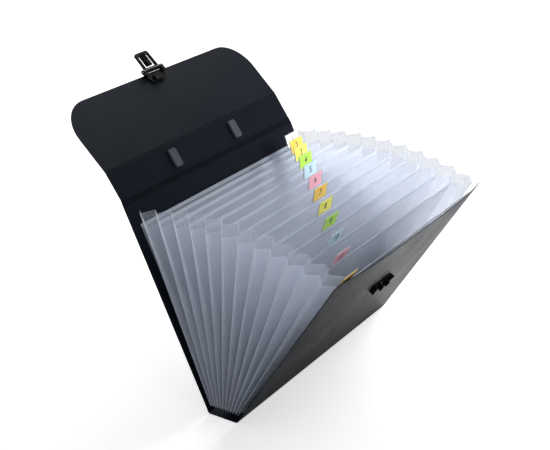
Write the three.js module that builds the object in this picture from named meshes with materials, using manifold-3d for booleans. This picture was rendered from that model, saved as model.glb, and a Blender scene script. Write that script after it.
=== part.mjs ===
// Expanding document case: a creased plastic cover sheet (front cover, spine, back cover, top strip
// and flap), a bellows of translucent film with twelve pockets, index tabs, a folding carrying
// handle and a lever clasp. Millimetres, +Z up. The case stands open on its spine: X runs along the
// spine, the front cover leans towards -Y, the back cover and the flap towards +Y, and the origin is
// the middle of the spine's underside.
import * as THREE from 'three';
import { mergeVertices } from 'three/addons/utils/BufferGeometryUtils.js';
import Module from 'manifold-3d';

// Driving sizes of the cover sheet
const cover_width = 330;
const cover_thickness = 0.9;
const spine_depth = 38;
const spine_bend_radius = 3;
const front_height = 234;
const front_corner_radius = 12;
const front_bow = 6;
const back_height = 247;
const strip_depth = 38;
const flap_inset = 1;
const flap_depth = 85;
const flap_corner_radius = 40;
const crease_gap = 0.3;
const crease_axis_lift = 0.1;
const crease_bevel = 31;

// Leans of the open case, in degrees from upright, and of the closed one
const front_lean = 32;
const back_lean = 25;
const strip_bend = 9.8;
const flap_bend = 11.7;

// Driving sizes of the bellows
const pockets = 12;
const film = 0.4;
const fit_gap = 0.3;
const root_span = 34;
const ridge_height = 3.2;
const fold_inset = 18;
const fold_reach = 13.5;
const divider_height = 212;
const edge_rise = 7;
const ear_rise = 13;
const hem_height = 4;
const hem_thickness = 0.9;
const liner_foot = 6;
const liner_overlap = 5;
const gusset_foot = 5;
const gusset_edge_reach = 1.2;

// Driving sizes of the index tabs
const tab_right_inset = 42;
const tab_left_inset = 24;
const tab_width = 28;
const tab_height = 16.5;
const tab_lift = 2.5;
const sleeve_wall = 0.25;
const label_thickness = 0.2;
const label_border = 1.2;
const sleeve_gap = 0.22;

// Driving sizes of the carrying handle
const handle_x = 58;
const bracket_length = 22;
const bracket_width = 14;
const bracket_plate = 1.8;
const bracket_corner = 3;
const bracket_v = 20;
const lug_width = 7;
const lug_radius = 4;
const pivot_height = 6;
const pivot_radius = 2;
const post_radius = 1.6;
const post_pitch = 14;
const post_clearance = 0.3;
const cap_height = 2.6;
const cap_socket = 1.5;
const arm_thickness = 5;
const handle_reach = 20;
const grip_height = 8;
const grip_depth = 7;
const handle_corner = 5;
const cap_step = 0.8;

// Driving sizes of the clasp
const base_width = 26;
const base_back = 13;
const base_thickness = 1.8;
const base_corner = 3;
const pad_length = 8;
const pad_width = 13;
const pad_height = 2;
const pad_corner = 1.2;
const pin_radius = 1;
const pin_beyond_edge = 3.5;
const pin_lift = 2.2;
const knuckle_radius = 2.6;
const ear_inner_x = 12.6;
const ear_outer_x = 17.5;
const ear_root = 3;
const lever_base_width = 24.6;
const lever_tip_width = 22.4;
const lever_length = 24;
const lever_thickness = 3;
const lever_rail = 2.6;
const lever_tip_bar = 4.5;
const lever_tip_corner = 2;
const tongue_width = 9;
const tongue_back = 2;
const tongue_pad_radius = 3.4;
const tongue_pad_height = 0.9;
const rib_pitch = 2.6;
const rib_width = 0.9;
const rib_height = 0.7;
const clasp_post_pitch = 18;
const clasp_post_radius = 1.4;
const backing_thickness = 1.2;
const backing_depth = 9;
const backing_corner = 2;

// Driving sizes of the keeper on the front cover
const keeper_v = 147;
const keeper_height = 10;
const keeper_plate = 1.6;
const hook_inner_x = 5.9;
const hook_outer_x = 8.1;
const hook_height = 8;
const wing_inner_x = 12.8;
const wing_outer_x = 20;
const wing_height = 6;
const keeper_post_x = 11;
const keeper_corner = 1.5;
const keeper_rivet = 0.6;
const wing_waist = 2;
const hook_inset = 0.6;
const hook_chamfer = 1;
const hook_undercut = 2.4;
const keeper_sink = 0.2;

const colours = {
  cover: 0x2b2e35,
  trim: 0x0b0c0e,
  cap: 0x4a4c54,
  film: 0xdfe3ea,
  steel: 0x8d9096,
};
const first_label = 0xf6f5f2;
const label_colours = [0xf5c33b, 0xe9e44c, 0xa7dd31, 0xcfe8f3, 0xf3c4cc];
const round_steps = 20;
const weld = 0.5;

const wasm = await Module();
wasm.setup();

const rad = THREE.MathUtils.degToRad;

function material(name, color, roughness, metalness = 0, opacity = 1) {
  return new THREE.MeshStandardMaterial({
    name, color, roughness, metalness, opacity, transparent: opacity < 1,
  });
}

const cover_material = material('cover', colours.cover, 0.5);
const trim_material = material('trim', colours.trim, 0.35);
const cap_material = material('cap', colours.cap, 0.45);
const film_material = material('film', colours.film, 0.4, 0, 0.45);
const steel_material = material('steel', colours.steel, 0.3, 1);

// Joining and cutting: a closed geometry becomes a solid and comes back as a geometry
function solid(geometry) {
  const bare = geometry.clone();
  bare.deleteAttribute('normal');
  bare.deleteAttribute('uv');
  const merged = mergeVertices(bare, 1e-5);
  return new wasm.Manifold(new wasm.Mesh({
    numProp: 3,
    vertProperties: new Float32Array(merged.attributes.position.array),
    triVerts: new Uint32Array(merged.index.array),
  }));
}

function geometryOf(manifold) {
  const mesh = manifold.getMesh();
  const geometry = new THREE.BufferGeometry();
  geometry.setAttribute('position', new THREE.BufferAttribute(mesh.vertProperties, 3));
  geometry.setIndex(new THREE.BufferAttribute(mesh.triVerts, 1));
  geometry.computeVertexNormals();
  return geometry;
}

function joined(...geometries) {
  return geometryOf(geometries.map(solid).reduce((a, b) => a.add(b)));
}

function cut(body, ...tools) {
  return geometryOf(tools.map(solid).reduce((a, b) => a.subtract(b), solid(body)));
}

function block(x0, x1, y0, y1, z0, z1) {
  const geometry = new THREE.BoxGeometry(x1 - x0, y1 - y0, z1 - z0);
  return geometry.translate((x0 + x1) / 2, (y0 + y1) / 2, (z0 + z1) / 2);
}

// A cylinder along X from x0 to x1
function rodX(radius, x0, x1, y, z) {
  const geometry = new THREE.CylinderGeometry(radius, radius, x1 - x0, round_steps);
  return geometry.rotateZ(Math.PI / 2).translate((x0 + x1) / 2, y, z);
}

// A cylinder along Y from y0 to y1
function rodY(radius, x, y0, y1, z) {
  const geometry = new THREE.CylinderGeometry(radius, radius, y1 - y0, round_steps);
  return geometry.translate(x, (y0 + y1) / 2, z);
}

// A flat sheet: an outline in X and Z, thickened from y0 to y1
function sheet(shape, y0, y1, curveSegments = 6) {
  const geometry = new THREE.ExtrudeGeometry(shape, {
    depth: y1 - y0, bevelEnabled: false, curveSegments,
  });
  return geometry.rotateX(Math.PI / 2).translate(0, y1, 0);
}

// A section in Y and Z carried along X from x0 to x1
function barX(points, x0, x1) {
  const shape = new THREE.Shape(points.map(([y, z]) => new THREE.Vector2(y, z)));
  const geometry = new THREE.ExtrudeGeometry(shape, { depth: x1 - x0, bevelEnabled: false });
  const along = new THREE.Matrix4().makeBasis(
    new THREE.Vector3(0, 1, 0), new THREE.Vector3(0, 0, 1), new THREE.Vector3(1, 0, 0),
  );
  return geometry.applyMatrix4(along).translate(x0, 0, 0);
}

function roundedRectangle(x0, x1, z0, z1, radius) {
  const shape = new THREE.Shape();
  shape.moveTo(x0 + radius, z0);
  shape.lineTo(x1 - radius, z0);
  shape.absarc(x1 - radius, z0 + radius, radius, -Math.PI / 2, 0);
  shape.lineTo(x1, z1 - radius);
  shape.absarc(x1 - radius, z1 - radius, radius, 0, Math.PI / 2);
  shape.lineTo(x0 + radius, z1);
  shape.absarc(x0 + radius, z1 - radius, radius, Math.PI / 2, Math.PI);
  shape.lineTo(x0, z0 + radius);
  shape.absarc(x0 + radius, z0 + radius, radius, Math.PI, Math.PI * 1.5);
  return shape;
}

// A rectangle's outline, and one whose two upper corners are rounded
function plainSheet(x0, x1, z0, z1, radius = 0) {
  const shape = new THREE.Shape();
  shape.moveTo(x0, z0);
  shape.lineTo(x1, z0);
  if (radius > 0) {
    shape.lineTo(x1, z1 - radius);
    shape.absarc(x1 - radius, z1 - radius, radius, 0, Math.PI / 2);
    shape.lineTo(x0 + radius, z1);
    shape.absarc(x0 + radius, z1 - radius, radius, Math.PI / 2, Math.PI);
  } else {
    shape.lineTo(x1, z1);
    shape.lineTo(x0, z1);
  }
  return shape;
}

function place(name, geometry, look, parent) {
  const mesh = new THREE.Mesh(geometry, look);
  mesh.name = name;
  parent.add(mesh);
  return mesh;
}

// A group whose local Z runs up a sheet that leans back by a number of degrees
function leaning(parent, y, z, lean) {
  const group = new THREE.Group();
  group.position.set(0, y, z);
  group.rotation.x = -rad(lean);
  parent.add(group);
  return group;
}

const document_case = new THREE.Group();

// Spine: a flat panel with a bend along each side that ends in line with the open cover
const inner_bend = spine_bend_radius - cover_thickness;

function bendEdge(lean) {
  const turn = rad(90 - lean);
  const flat_half = spine_depth / 2 - spine_bend_radius * Math.tan(turn / 2);
  const axis_radius = inner_bend - crease_axis_lift;
  return {
    turn,
    flat_half,
    axis_y: flat_half + axis_radius * Math.sin(turn),
    axis_z: spine_bend_radius - axis_radius * Math.cos(turn),
  };
}

const front_edge = bendEdge(front_lean);
const back_edge = bendEdge(back_lean);

function bendArc(edge, side, radius, steps = 5) {
  const last = edge.turn - crease_gap / 2 / spine_bend_radius;
  return Array.from({ length: steps + 1 }, (_, i) => {
    const angle = (last * i) / steps;
    return [
      side * (edge.flat_half + radius * Math.sin(angle)),
      spine_bend_radius - radius * Math.cos(angle),
    ];
  });
}

function makeSpine() {
  const outer_front = bendArc(front_edge, -1, spine_bend_radius);
  const inner_front = bendArc(front_edge, -1, inner_bend);
  const outer_back = bendArc(back_edge, 1, spine_bend_radius);
  const inner_back = bendArc(back_edge, 1, inner_bend);
  const points = [
    ...outer_front.reverse(), ...outer_back, ...inner_back.reverse(), ...inner_front,
  ];
  return barX(points, -cover_width / 2, cover_width / 2);
}

place('spine', makeSpine(), cover_material, document_case);

// Bellows: sheet k counts from the back cover, 0, to the front cover, the number of pockets
const fold_in_x = cover_width / 2 - fold_inset;
const fold_out_x = fold_in_x + fold_reach;
const root_z = cover_thickness + fit_gap + ridge_height;
const rootY = (k) => root_span / 2 - (root_span * k) / pockets;
const leanAt = (k) => back_lean - ((back_lean + front_lean) * k) / pockets;
const spread = (k) => (2 * k) / pockets - 1;
const dividerTop = (k) => divider_height + edge_rise * spread(k) ** 2;

function onSheet(x, k, v) {
  const lean = rad(leanAt(k));
  return new THREE.Vector3(x, rootY(k) + v * Math.sin(lean), root_z + v * Math.cos(lean));
}

// Offsets a zigzag line to both sides: sharp inside each fold, blunt outside it
function zigzagSides(line, thickness) {
  const half = thickness / 2;
  const left = [];
  const right = [];
  line.forEach((point, i) => {
    const before = i > 0 ? new THREE.Vector2().subVectors(point, line[i - 1]).normalize() : null;
    const after = i < line.length - 1
      ? new THREE.Vector2().subVectors(line[i + 1], point).normalize() : null;
    const a = before || after;
    const b = after || before;
    const normal_a = new THREE.Vector2(-a.y, a.x).multiplyScalar(half);
    const normal_b = new THREE.Vector2(-b.y, b.x).multiplyScalar(half);
    if (!before || !after) {
      left.push(point.clone().add(normal_a));
      right.push(point.clone().sub(normal_a));
      return;
    }
    const turn = a.x * b.y - a.y * b.x;
    const middle = new THREE.Vector2().addVectors(normal_a, normal_b);
    const miter = middle.multiplyScalar((2 * half * half) / middle.lengthSq());
    const sharp = turn > 0 ? left : right;
    const blunt = turn > 0 ? right : left;
    const side = turn > 0 ? 1 : -1;
    sharp.push(point.clone().addScaledVector(miter, side));
    blunt.push(point.clone().addScaledVector(normal_a, -side));
    blunt.push(point.clone().addScaledVector(normal_b, -side));
  });
  return [...left, ...right.reverse()];
}

// The folded strip that closes the pockets' bottoms, with a ridge under each divider
function makePocketBase() {
  const valley_z = cover_thickness + fit_gap + film / 2;
  const ridge_z = root_z - fit_gap - film / 2;
  const line = [new THREE.Vector2(rootY(0.5), valley_z)];
  for (let k = 1; k < pockets; k += 1) {
    line.push(new THREE.Vector2(rootY(k), ridge_z));
    line.push(new THREE.Vector2(rootY(k + 0.5), valley_z));
  }
  const points = zigzagSides(line, film).map((p) => [p.x, p.y]);
  return barX(points, -fold_in_x, fold_in_x);
}

place('pocket_base', makePocketBase(), film_material, document_case);

// A gusset's pleats: fold points across the fan at one reach v up the sheets
const pitchAt = (v) => root_span / pockets + v * rad((back_lean + front_lean) / pockets);
const panel_width = Math.hypot(fold_out_x - fold_in_x, pitchAt(divider_height) / 2);

function foldDepth(v) {
  return Math.sqrt(panel_width ** 2 - (pitchAt(v) / 2) ** 2);
}

// Each point has its X and its place across the fan, counted in sheets
function gussetSection(v, side) {
  const pitch = pitchAt(v);
  const line = [];
  for (let i = 0; i <= 2 * pockets; i += 1) {
    const x = i % 2 ? fold_in_x + foldDepth(v) : fold_in_x + film / 2;
    const reach = i === 0 ? -gusset_edge_reach : i === 2 * pockets ? gusset_edge_reach : 0;
    line.push(new THREE.Vector2(x, (i / 2) * pitch + reach));
  }
  const points = zigzagSides(line, film).map((p) => ({ x: side * p.x, k: p.y / pitch }));
  return side > 0 ? points : points.reverse();
}

function makeGusset(side) {
  const reaches = [0, 0.1, 0.25, 0.5, 0.75, 1];
  const positions = [];
  const index = [];
  const heights = reaches.map(
    (share) => gusset_foot + share * (divider_height + ear_rise - gusset_foot),
  );
  const sections = heights.map((v, row) => gussetSection(v, side).map(({ x, k }) => (
    onSheet(x, k, v + reaches[row] * edge_rise * spread(k) ** 2)
  )));
  sections.flat().forEach((p) => positions.push(p.x, p.y, p.z));
  const count = sections[0].length;
  const across = gussetSection(heights[0], side).map(({ k }) => k);
  for (let row = 0; row < reaches.length - 1; row += 1) {
    for (let i = 0; i < count; i += 1) {
      const next = (i + 1) % count;
      const low = row * count;
      const high = low + count;
      // Both skins of a panel are split along the same diagonal, so that they stay parallel
      if (across[next] > across[i]) {
        index.push(low + i, low + next, high + next, low + i, high + next, high + i);
      } else {
        index.push(low + i, low + next, high + i, low + next, high + next, high + i);
      }
    }
  }
  [0, reaches.length - 1].forEach((row) => {
    const v = heights[row];
    const flat = gussetSection(v, side).map(({ x, k }) => new THREE.Vector2(x, -k * pitchAt(v)));
    THREE.ShapeUtils.triangulateShape(flat, []).forEach((corners) => {
      const [a, b, c] = corners.map((i) => flat[i]);
      const upward = (b.x - a.x) * (c.y - a.y) - (b.y - a.y) * (c.x - a.x) > 0;
      const order = upward === (row > 0) ? corners : [...corners].reverse();
      index.push(...order.map((i) => row * count + i));
    });
  });
  const geometry = new THREE.BufferGeometry();
  geometry.setAttribute('position', new THREE.Float32BufferAttribute(positions, 3));
  geometry.setIndex(index);
  return geometry;
}

place('gusset_left', makeGusset(-1), film_material, document_case);
place('gusset_right', makeGusset(1), film_material, document_case);

// A film sheet with a tongue for its index tab, and a hem along its top edge
const tab_pitch = (cover_width - tab_right_inset - tab_left_inset) / (pockets - 1);
const tabX = (k) => cover_width / 2 - tab_right_inset - tab_pitch * (k - 1);

function filmSheet(k, half_width, foot, y0, hem_side) {
  const top = dividerTop(k);
  const tongue_top = top + tab_lift + tab_height - sleeve_wall - fit_gap;
  const tongue_half = tab_width / 2 - sleeve_wall - fit_gap;
  const shape = new THREE.Shape();
  shape.moveTo(-half_width, foot);
  shape.lineTo(half_width, foot);
  shape.lineTo(half_width, top);
  if (k > 0) {
    shape.lineTo(tabX(k) + tongue_half, top);
    shape.lineTo(tabX(k) + tongue_half, tongue_top);
    shape.lineTo(tabX(k) - tongue_half, tongue_top);
    shape.lineTo(tabX(k) - tongue_half, top);
  }
  shape.lineTo(-half_width, top);
  const plate = sheet(shape, y0, y0 + film);
  const extra = hem_thickness - film;
  const hem_y0 = y0 - (extra * (1 - hem_side)) / 2;
  const hem = block(-half_width, half_width, hem_y0, hem_y0 + hem_thickness, top - hem_height, top);
  return joined(plate, hem);
}

// A clear sleeve folded over the tongue, open below, with a paper slip on the tongue's front
function addTab(k, group, y0) {
  const x0 = tabX(k) - tab_width / 2;
  const x1 = x0 + tab_width;
  const z0 = dividerTop(k) + tab_lift;
  const z1 = z0 + tab_height;
  const slip_y1 = y0 - sleeve_gap;
  const slip_y0 = slip_y1 - label_thickness;
  const front_y = slip_y0 - sleeve_gap - sleeve_wall;
  const back_y = y0 + film + sleeve_gap + sleeve_wall;
  const sleeve = barX([
    [front_y, z0], [front_y + sleeve_wall, z0], [front_y + sleeve_wall, z1 - sleeve_wall],
    [back_y - sleeve_wall, z1 - sleeve_wall], [back_y - sleeve_wall, z0], [back_y, z0],
    [back_y, z1], [front_y, z1],
  ], x0, x1);
  place(`tab_sleeve_${k}`, sleeve, film_material, group);
  const slip_top = z1 - sleeve_wall - fit_gap;
  const slip = block(x0 + label_border, x1 - label_border, slip_y0, slip_y1, z0, slip_top);
  const colour = k === 1 ? first_label : label_colours[(k - 2) % label_colours.length];
  place(`tab_label_${k}`, slip, material(`label_${k}`, colour, 0.8), group);
}

for (let k = 1; k < pockets; k += 1) {
  const group = leaning(document_case, rootY(k), root_z, leanAt(k));
  const half_width = fold_in_x - fit_gap;
  place(`divider_${k}`, filmSheet(k, half_width, 0, -film / 2, 0), film_material, group);
  addTab(k, group, -film / 2);
}

// Front cover: upright edges and foot straight, top edge bowed outwards in the middle
const front_group = leaning(
  document_case, -front_edge.axis_y, front_edge.axis_z, -front_lean,
);
const front_inner_y = -crease_axis_lift;
const frontBow = (x, v) => front_bow * (v / front_height) * (1 - (2 * x / cover_width) ** 4);

function frontTop(x) {
  const into = Math.abs(x) - (cover_width / 2 - front_corner_radius);
  if (into <= 0) return front_height;
  const drop = front_corner_radius - Math.sqrt(Math.max(front_corner_radius ** 2 - into ** 2, 0));
  return front_height - drop;
}

function bowedSheet() {
  const half = cover_width / 2;
  const straight = half - front_corner_radius;
  const columns = [];
  for (let i = 6; i > 0; i -= 1) {
    columns.push(-straight - front_corner_radius * Math.sin((i * Math.PI) / 12));
  }
  for (let i = 0; i <= 20; i += 1) columns.push(-straight + (2 * straight * i) / 20);
  for (let i = 1; i <= 6; i += 1) {
    columns.push(straight + front_corner_radius * Math.sin((i * Math.PI) / 12));
  }
  const rows = [0, 0.5, 1];
  const positions = [];
  const index = [];
  [0, cover_thickness].forEach((depth) => {
    columns.forEach((x) => {
      rows.forEach((share) => {
        const v = crease_gap / 2 + share * (frontTop(x) - crease_gap / 2);
        positions.push(x, front_inner_y - depth - frontBow(x, v), v);
      });
    });
  });
  const side = columns.length * rows.length;
  const at = (face, column, row) => face * side + column * rows.length + row;
  const quad = (a, b, c, d) => index.push(a, b, c, a, c, d);
  for (let c = 0; c < columns.length - 1; c += 1) {
    for (let r = 0; r < rows.length - 1; r += 1) {
      quad(at(0, c, r), at(0, c, r + 1), at(0, c + 1, r + 1), at(0, c + 1, r));
      quad(at(1, c, r), at(1, c + 1, r), at(1, c + 1, r + 1), at(1, c, r + 1));
    }
    const last = rows.length - 1;
    quad(at(0, c, 0), at(0, c + 1, 0), at(1, c + 1, 0), at(1, c, 0));
    quad(at(0, c, last), at(1, c, last), at(1, c + 1, last), at(0, c + 1, last));
  }
  for (let r = 0; r < rows.length - 1; r += 1) {
    const last = columns.length - 1;
    quad(at(0, 0, r), at(1, 0, r), at(1, 0, r + 1), at(0, 0, r + 1));
    quad(at(0, last, r), at(0, last, r + 1), at(1, last, r + 1), at(1, last, r));
  }
  const geometry = new THREE.BufferGeometry();
  geometry.setAttribute('position', new THREE.Float32BufferAttribute(positions, 3));
  geometry.setIndex(index);
  return geometry;
}

// The keeper's seat: a frame on the outer face, turned with the slope of the bow
const keeper_slope = Math.atan2(front_bow, front_height);
const keeper_seat = new THREE.Group();
keeper_seat.position.set(
  0, front_inner_y - cover_thickness - frontBow(0, keeper_v), keeper_v,
);
keeper_seat.rotation.x = keeper_slope;

function inKeeperSeat(geometry) {
  keeper_seat.updateMatrix();
  return geometry.applyMatrix4(keeper_seat.matrix);
}

const keeper_holes = [-1, 1].map((side) => inKeeperSeat(
  rodY(clasp_post_radius + post_clearance, side * keeper_post_x, -2, cover_thickness + 2, 0),
));
place('front_cover', cut(bowedSheet(), ...keeper_holes), cover_material, front_group);

const liner_half = fold_in_x + liner_overlap;
place(
  'front_liner', filmSheet(pockets, liner_half, liner_foot, front_inner_y + fit_gap, 1),
  film_material, front_group,
);
addTab(pockets, front_group, front_inner_y + fit_gap);

// Keeper: a bow-shaped block with two hooks for the lever's windows, riveted through the cover
function makeKeeper() {
  const half = keeper_height / 2;
  const low = half - hook_inset;
  const y0 = -fit_gap;
  const plate = sheet(
    roundedRectangle(-wing_outer_x, wing_outer_x, -half, half, keeper_corner),
    y0 - keeper_plate, y0, 3,
  );
  const parts = [plate];
  [-1, 1].forEach((side) => {
    const wing = new THREE.Shape();
    wing.moveTo(side * wing_inner_x, -half + wing_waist);
    wing.lineTo(side * wing_outer_x, -half);
    wing.lineTo(side * wing_outer_x, half);
    wing.lineTo(side * wing_inner_x, half - wing_waist);
    parts.push(sheet(wing, y0 - wing_height, y0 - keeper_sink));
    const hook_x = [side * hook_inner_x, side * hook_outer_x].sort((a, b) => a - b);
    parts.push(barX([
      [y0 - keeper_sink, -low], [y0 - keeper_sink, low],
      [y0 - hook_height + hook_chamfer, low], [y0 - hook_height, low - hook_chamfer],
      [y0 - hook_height, -low + hook_undercut], [y0 - hook_height + hook_undercut, -low],
    ], hook_x[0], hook_x[1]));
    const post_end = cover_thickness + keeper_rivet;
    parts.push(rodY(clasp_post_radius, side * keeper_post_x, y0 - weld, post_end, 0));
  });
  return joined(...parts);
}

front_group.add(keeper_seat);
place('keeper', makeKeeper(), trim_material, keeper_seat);

// The V of a crease: cuts a sheet's edge at v back on its outer face, so that the crease folds both ways
function creaseBevel(v, side) {
  const depth = 2 * cover_thickness;
  const cut_back = depth * Math.tan(rad(crease_bevel));
  return barX([
    [0, v], [depth, v - side * cut_back], [depth, v + side * depth], [0, v + side * depth],
  ], -cover_width, cover_width);
}

// Back cover
const back_group = leaning(document_case, back_edge.axis_y, back_edge.axis_z, back_lean);
const back_inner_y = crease_axis_lift;
const half_gap = crease_gap / 2;
place(
  'back_cover',
  cut(
    sheet(
      plainSheet(-cover_width / 2, cover_width / 2, half_gap, back_height - half_gap),
      back_inner_y, back_inner_y + cover_thickness,
    ),
    creaseBevel(back_height - half_gap, 1),
  ),
  cover_material, back_group,
);
place(
  'back_liner', filmSheet(0, liner_half, liner_foot, back_inner_y - fit_gap - film, -1),
  film_material, back_group,
);

// Top strip, with the holes for the handle brackets' posts
const flap_half = cover_width / 2 - flap_inset;
const strip_group = leaning(back_group, 0, back_height, strip_bend);

function stripHoles(radius, y0, y1) {
  return [-1, 1].flatMap((side) => [-1, 1].map((end) => rodY(
    radius, side * handle_x, y0, y1, bracket_v + (end * post_pitch) / 2,
  )));
}

place(
  'top_strip',
  cut(
    sheet(
      plainSheet(-flap_half, flap_half, half_gap, strip_depth - half_gap),
      back_inner_y, back_inner_y + cover_thickness,
    ),
    ...stripHoles(post_radius + post_clearance, -1, 2),
    creaseBevel(half_gap, -1), creaseBevel(strip_depth - half_gap, 1),
  ),
  cover_material, strip_group,
);

// Handle brackets outside the strip, each with a bored lug and two posts, and their caps inside
const strip_outer_y = back_inner_y + cover_thickness;
const pivot_y = strip_outer_y + fit_gap + pivot_height;

function makeBracket(side) {
  const x = side * handle_x;
  const y0 = strip_outer_y + fit_gap;
  const z0 = bracket_v - bracket_length / 2;
  const plate = sheet(
    roundedRectangle(
      x - bracket_width / 2, x + bracket_width / 2, z0, z0 + bracket_length, bracket_corner,
    ),
    y0, y0 + bracket_plate, 4,
  );
  const lug_x0 = x - lug_width / 2;
  const lug_x1 = x + lug_width / 2;
  const lug = joined(
    rodX(lug_radius, lug_x0, lug_x1, pivot_y, bracket_v),
    block(lug_x0, lug_x1, y0 + weld, pivot_y, bracket_v - lug_radius, bracket_v + lug_radius),
  );
  const posts = [-1, 1].map((end) => rodY(
    post_radius, x, back_inner_y - cap_socket, y0 + weld,
    bracket_v + (end * post_pitch) / 2,
  ));
  const bore = rodX(pivot_radius + fit_gap, lug_x0 - 1, lug_x1 + 1, pivot_y, bracket_v);
  return cut(joined(plate, lug, ...posts), bore);
}

function makeCap(side) {
  const x = side * handle_x;
  const y1 = back_inner_y - fit_gap;
  const z0 = bracket_v - bracket_length / 2;
  const low = sheet(
    roundedRectangle(
      x - bracket_width / 2, x + bracket_width / 2, z0, z0 + bracket_length, bracket_corner,
    ),
    y1 - cap_height + cap_step, y1, 5,
  );
  const high = sheet(
    roundedRectangle(
      x - bracket_width / 2 + cap_step, x + bracket_width / 2 - cap_step, z0 + cap_step,
      z0 + bracket_length - cap_step, bracket_corner - cap_step,
    ),
    y1 - cap_height, y1 - cap_height + cap_step + weld, 5,
  );
  const sockets = [-1, 1].map((end) => rodY(
    post_radius + post_clearance, x, y1 - cap_socket, y1 + 1, bracket_v + (end * post_pitch) / 2,
  ));
  return cut(joined(low, high), ...sockets);
}

[['left', -1], ['right', 1]].forEach(([word, side]) => {
  place(`handle_bracket_${word}`, makeBracket(side), trim_material, strip_group);
  place(`handle_cap_${word}`, makeCap(side), cap_material, strip_group);
});

// Carrying handle: a grip between two arms, whose stubs turn in the brackets; it hangs straight down
const handle_group = new THREE.Group();
handle_group.position.set(0, pivot_y, bracket_v);
handle_group.rotation.x = rad(back_lean + strip_bend);
strip_group.add(handle_group);

function makeHandle() {
  const arm_outer = handle_x - lug_width / 2 - fit_gap;
  const arm_inner = arm_outer - arm_thickness;
  const grip_low = -handle_reach - grip_height / 2;
  const outline = new THREE.Shape();
  outline.moveTo(-arm_outer, 0);
  outline.lineTo(-arm_outer, grip_low + handle_corner);
  outline.quadraticCurveTo(-arm_outer, grip_low, -arm_outer + handle_corner, grip_low);
  outline.lineTo(arm_outer - handle_corner, grip_low);
  outline.quadraticCurveTo(arm_outer, grip_low, arm_outer, grip_low + handle_corner);
  outline.lineTo(arm_outer, 0);
  outline.lineTo(arm_inner, 0);
  outline.lineTo(arm_inner, grip_low + grip_height + handle_corner);
  outline.quadraticCurveTo(
    arm_inner, grip_low + grip_height, arm_inner - handle_corner, grip_low + grip_height,
  );
  outline.lineTo(-arm_inner + handle_corner, grip_low + grip_height);
  outline.quadraticCurveTo(
    -arm_inner, grip_low + grip_height, -arm_inner, grip_low + grip_height + handle_corner,
  );
  outline.lineTo(-arm_inner, 0);
  const bow = sheet(outline, -grip_depth / 2, grip_depth / 2, 4);
  const stub_end = handle_x + lug_width / 2 - fit_gap;
  const ends = [-1, 1].flatMap((side) => {
    const eye = [side * arm_inner, side * arm_outer].sort((a, b) => a - b);
    const stub = [side * (arm_outer - 1), side * stub_end].sort((a, b) => a - b);
    return [
      rodX(grip_depth / 2, eye[0], eye[1], 0, 0), rodX(pivot_radius, stub[0], stub[1], 0, 0),
    ];
  });
  return joined(bow, ...ends);
}

place('carrying_handle', makeHandle(), trim_material, handle_group);

// Flap, with the holes for the clasp's posts
const flap_group = leaning(strip_group, 0, strip_depth, flap_bend);
const post_v = flap_depth - (base_back + ear_root) / 2;
const clasp_posts_x = [-clasp_post_pitch / 2, clasp_post_pitch / 2];
place(
  'flap',
  cut(
    sheet(
      plainSheet(-flap_half, flap_half, half_gap, flap_depth, flap_corner_radius),
      back_inner_y, back_inner_y + cover_thickness, 10,
    ),
    ...clasp_posts_x.map((x) => rodY(clasp_post_radius + post_clearance, x, -1, 2, post_v)),
    creaseBevel(half_gap, -1),
  ),
  cover_material, flap_group,
);

// Clasp base on the flap's inner face: plate, raised pad and two ears for the pin past the edge
const pin_v = flap_depth + pin_beyond_edge;
const pin_y = back_inner_y - pin_lift;

function makeClaspBase() {
  const y1 = back_inner_y - fit_gap;
  const y0 = y1 - base_thickness;
  const low = flap_depth - base_back;
  const plate_outline = new THREE.Shape();
  plate_outline.moveTo(-base_width / 2 + base_corner, low);
  plate_outline.lineTo(base_width / 2 - base_corner, low);
  plate_outline.lineTo(base_width / 2, low + base_corner);
  plate_outline.lineTo(ear_outer_x, flap_depth - ear_root);
  plate_outline.lineTo(ear_outer_x, flap_depth + weld);
  plate_outline.lineTo(-ear_outer_x, flap_depth + weld);
  plate_outline.lineTo(-ear_outer_x, flap_depth - ear_root);
  plate_outline.lineTo(-base_width / 2, low + base_corner);
  const pad_v = low + (base_back - ear_root) / 2 + weld;
  const pad = new THREE.Shape();
  pad.moveTo(-pad_width / 2, pad_v - pad_length / 2 + pad_corner);
  pad.lineTo(-pad_width / 2 + pad_corner, pad_v - pad_length / 2);
  pad.lineTo(pad_width / 2 - pad_corner, pad_v - pad_length / 2);
  pad.lineTo(pad_width / 2, pad_v - pad_length / 2 + pad_corner);
  pad.lineTo(pad_width / 2, pad_v + pad_length / 2 - pad_corner);
  pad.lineTo(pad_width / 2 - pad_corner, pad_v + pad_length / 2);
  pad.lineTo(-pad_width / 2 + pad_corner, pad_v + pad_length / 2);
  pad.lineTo(-pad_width / 2, pad_v + pad_length / 2 - pad_corner);
  const parts = [
    sheet(plate_outline, y0, y1),
    sheet(pad, y0 - pad_height, y0 + weld),
  ];
  const bores = [];
  [-1, 1].forEach((side) => {
    const x = [side * ear_inner_x, side * ear_outer_x].sort((a, b) => a - b);
    parts.push(rodX(knuckle_radius, x[0], x[1], pin_y, pin_v));
    parts.push(block(
      x[0], x[1], pin_y - knuckle_radius, y1, flap_depth - ear_root, pin_v,
    ));
    bores.push(rodX(pin_radius + fit_gap, x[0] - 1, x[1] + 1, pin_y, pin_v));
  });
  const sockets = clasp_posts_x.map((x) => rodY(
    clasp_post_radius + post_clearance, x, y0 - 1, y1 + 1, post_v,
  ));
  return cut(joined(...parts), ...bores, ...sockets);
}

place('clasp_base', makeClaspBase(), trim_material, flap_group);

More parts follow.
